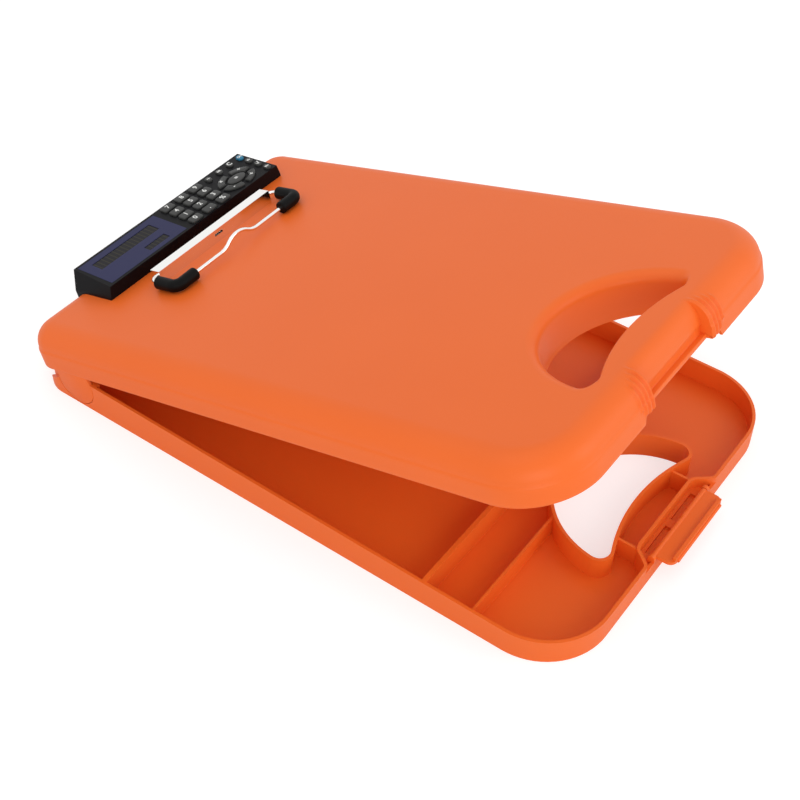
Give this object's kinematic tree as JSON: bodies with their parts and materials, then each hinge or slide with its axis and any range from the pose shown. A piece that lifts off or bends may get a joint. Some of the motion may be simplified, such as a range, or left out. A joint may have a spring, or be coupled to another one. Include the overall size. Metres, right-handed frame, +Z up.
{
  "type": "storage clipboard box",
  "caption": "Shallow plastic box for letter-size sheets with a hinged writing lid, hand hole, front latch, wire paper clip and slim calculator on the lid.",
  "frame": {"origin": "middle of the tray's flat underside, on the table", "axes": "+Z up, +Y towards the hinge and calculator, so the hand hole and latch are at -Y, +X to the right seen from the front"},
  "size_m": [0.254, 0.4262, 0.1465],
  "materials": {
    "box_plastic": "satin moulded orange plastic",
    "clip_metal": "bright nickel plate",
    "boot_rubber": "matt black rubber",
    "case_plastic": "fine-textured black plastic",
    "face_plastic": "satin slate-blue sheet",
    "window_plastic": "clear moulded window",
    "display_glass": "grey-green liquid crystal cell",
    "solar_cell": "dark solar cell",
    "board": "circuit board",
    "mat_rubber": "silicone key mat",
    "battery_steel": "button cell can",
    "screw_steel": "plated screws",
    "key_plastic": "dark grey keys",
    "blue_key_plastic": "blue key"
  },
  "bodies": {
    "base": {"tray": "box_plastic"},
    "lid": {"lid": "box_plastic", "clip_channel": "clip_metal", "clip_rivets": "clip_metal", "clip_spring": "clip_metal", "calc_case_top": "case_plastic", "calc_case_bottom": "case_plastic", "calc_face_plate": "face_plastic", "calc_window": "window_plastic", "calc_display": "display_glass", "calc_solar_cell": "solar_cell", "calc_board": "board", "calc_key_mat": "mat_rubber", "calc_battery": "battery_steel", "calc_screws": "screw_steel"},
    "latch": {"latch": "box_plastic"},
    "bail": {"clip_bail": "clip_metal", "boot_left": "boot_rubber", "boot_right": "boot_rubber"},
    "key_0": {"key_0": "key_plastic"},
    "key_point": {"key_point": "key_plastic"},
    "key_percent": {"key_percent": "key_plastic"},
    "key_1": {"key_1": "key_plastic"},
    "key_2": {"key_2": "key_plastic"},
    "key_3": {"key_3": "key_plastic"},
    "key_4": {"key_4": "key_plastic"},
    "key_5": {"key_5": "key_plastic"},
    "key_6": {"key_6": "key_plastic"},
    "key_7": {"key_7": "key_plastic"},
    "key_8": {"key_8": "key_plastic"},
    "key_9": {"key_9": "key_plastic"},
    "key_on": {"key_on": "blue_key_plastic"},
    "key_clear": {"key_clear": "key_plastic"},
    "key_recall": {"key_recall": "key_plastic"},
    "key_sign": {"key_sign": "key_plastic"},
    "key_memory": {"key_memory": "key_plastic"},
    "key_root": {"key_root": "key_plastic"},
    "key_store": {"key_store": "key_plastic"},
    "key_divide": {"key_divide": "key_plastic"},
    "key_times": {"key_times": "key_plastic"},
    "key_minus": {"key_minus": "key_plastic"},
    "key_plus": {"key_plus": "key_plastic"},
    "key_equals": {"key_equals": "key_plastic"}
  },
  "joints": [
    {"name": "lid_hinge", "type": "hinge", "parent": "base", "child": "lid", "pos_m": [0, 0.1648, 0.0165], "axis": [-1, 0, 0], "range_deg": [-16.65, 17.5]},
    {"name": "latch_hinge", "type": "hinge", "parent": "base", "child": "latch", "pos_m": [0, -0.201, 0.0144], "axis": [-1, 0, 0], "range_deg": [0, 90]},
    {"name": "bail_hinge", "type": "hinge", "parent": "lid", "child": "bail", "pos_m": [0.0025, 0.1578, 0.05856], "axis": [-1, 0, 0], "range_deg": [0, 60], "stiffness_Nm_per_rad": 0.15, "springref_deg": -20.05},
    {"name": "key_0_press", "type": "slide", "parent": "lid", "child": "key_0", "axis": [0, -0.1173, -0.9931], "range_m": [0, 0.0007], "stiffness_N_per_m": 150},
    {"name": "key_point_press", "type": "slide", "parent": "lid", "child": "key_point", "axis": [0, -0.1173, -0.9931], "range_m": [0, 0.0007], "stiffness_N_per_m": 150},
    {"name": "key_percent_press", "type": "slide", "parent": "lid", "child": "key_percent", "axis": [0, -0.1173, -0.9931], "range_m": [0, 0.0007], "stiffness_N_per_m": 150},
    {"name": "key_1_press", "type": "slide", "parent": "lid", "child": "key_1", "axis": [0, -0.1173, -0.9931], "range_m": [0, 0.0007], "stiffness_N_per_m": 150},
    {"name": "key_2_press", "type": "slide", "parent": "lid", "child": "key_2", "axis": [0, -0.1173, -0.9931], "range_m": [0, 0.0007], "stiffness_N_per_m": 150},
    {"name": "key_3_press", "type": "slide", "parent": "lid", "child": "key_3", "axis": [0, -0.1173, -0.9931], "range_m": [0, 0.0007], "stiffness_N_per_m": 150},
    {"name": "key_4_press", "type": "slide", "parent": "lid", "child": "key_4", "axis": [0, -0.1173, -0.9931], "range_m": [0, 0.0007], "stiffness_N_per_m": 150},
    {"name": "key_5_press", "type": "slide", "parent": "lid", "child": "key_5", "axis": [0, -0.1173, -0.9931], "range_m": [0, 0.0007], "stiffness_N_per_m": 150},
    {"name": "key_6_press", "type": "slide", "parent": "lid", "child": "key_6", "axis": [0, -0.1173, -0.9931], "range_m": [0, 0.0007], "stiffness_N_per_m": 150},
    {"name": "key_7_press", "type": "slide", "parent": "lid", "child": "key_7", "axis": [0, -0.1173, -0.9931], "range_m": [0, 0.0007], "stiffness_N_per_m": 150},
    {"name": "key_8_press", "type": "slide", "parent": "lid", "child": "key_8", "axis": [0, -0.1173, -0.9931], "range_m": [0, 0.0007], "stiffness_N_per_m": 150},
    {"name": "key_9_press", "type": "slide", "parent": "lid", "child": "key_9", "axis": [0, -0.1173, -0.9931], "range_m": [0, 0.0007], "stiffness_N_per_m": 150},
    {"name": "key_on_press", "type": "slide", "parent": "lid", "child": "key_on", "axis": [0, -0.1173, -0.9931], "range_m": [0, 0.0007], "stiffness_N_per_m": 150},
    {"name": "key_clear_press", "type": "slide", "parent": "lid", "child": "key_clear", "axis": [0, -0.1173, -0.9931], "range_m": [0, 0.0007], "stiffness_N_per_m": 150},
    {"name": "key_recall_press", "type": "slide", "parent": "lid", "child": "key_recall", "axis": [0, -0.1173, -0.9931], "range_m": [0, 0.0007], "stiffness_N_per_m": 150},
    {"name": "key_sign_press", "type": "slide", "parent": "lid", "child": "key_sign", "axis": [0, -0.1173, -0.9931], "range_m": [0, 0.0007], "stiffness_N_per_m": 150},
    {"name": "key_memory_press", "type": "slide", "parent": "lid", "child": "key_memory", "axis": [0, -0.1173, -0.9931], "range_m": [0, 0.0007], "stiffness_N_per_m": 150},
    {"name": "key_root_press", "type": "slide", "parent": "lid", "child": "key_root", "axis": [0, -0.1173, -0.9931], "range_m": [0, 0.0007], "stiffness_N_per_m": 150},
    {"name": "key_store_press", "type": "slide", "parent": "lid", "child": "key_store", "axis": [0, -0.1173, -0.9931], "range_m": [0, 0.0007], "stiffness_N_per_m": 150},
    {"name": "key_divide_press", "type": "slide", "parent": "lid", "child": "key_divide", "axis": [0, -0.1173, -0.9931], "range_m": [0, 0.0007], "stiffness_N_per_m": 150},
    {"name": "key_times_press", "type": "slide", "parent": "lid", "child": "key_times", "axis": [0, -0.1173, -0.9931], "range_m": [0, 0.0007], "stiffness_N_per_m": 150},
    {"name": "key_minus_press", "type": "slide", "parent": "lid", "child": "key_minus", "axis": [0, -0.1173, -0.9931], "range_m": [0, 0.0007], "stiffness_N_per_m": 150},
    {"name": "key_plus_press", "type": "slide", "parent": "lid", "child": "key_plus", "axis": [0, -0.1173, -0.9931], "range_m": [0, 0.0007], "stiffness_N_per_m": 150},
    {"name": "key_equals_press", "type": "slide", "parent": "lid", "child": "key_equals", "axis": [0, -0.1173, -0.9931], "range_m": [0, 0.0007], "stiffness_N_per_m": 150}
  ]
}
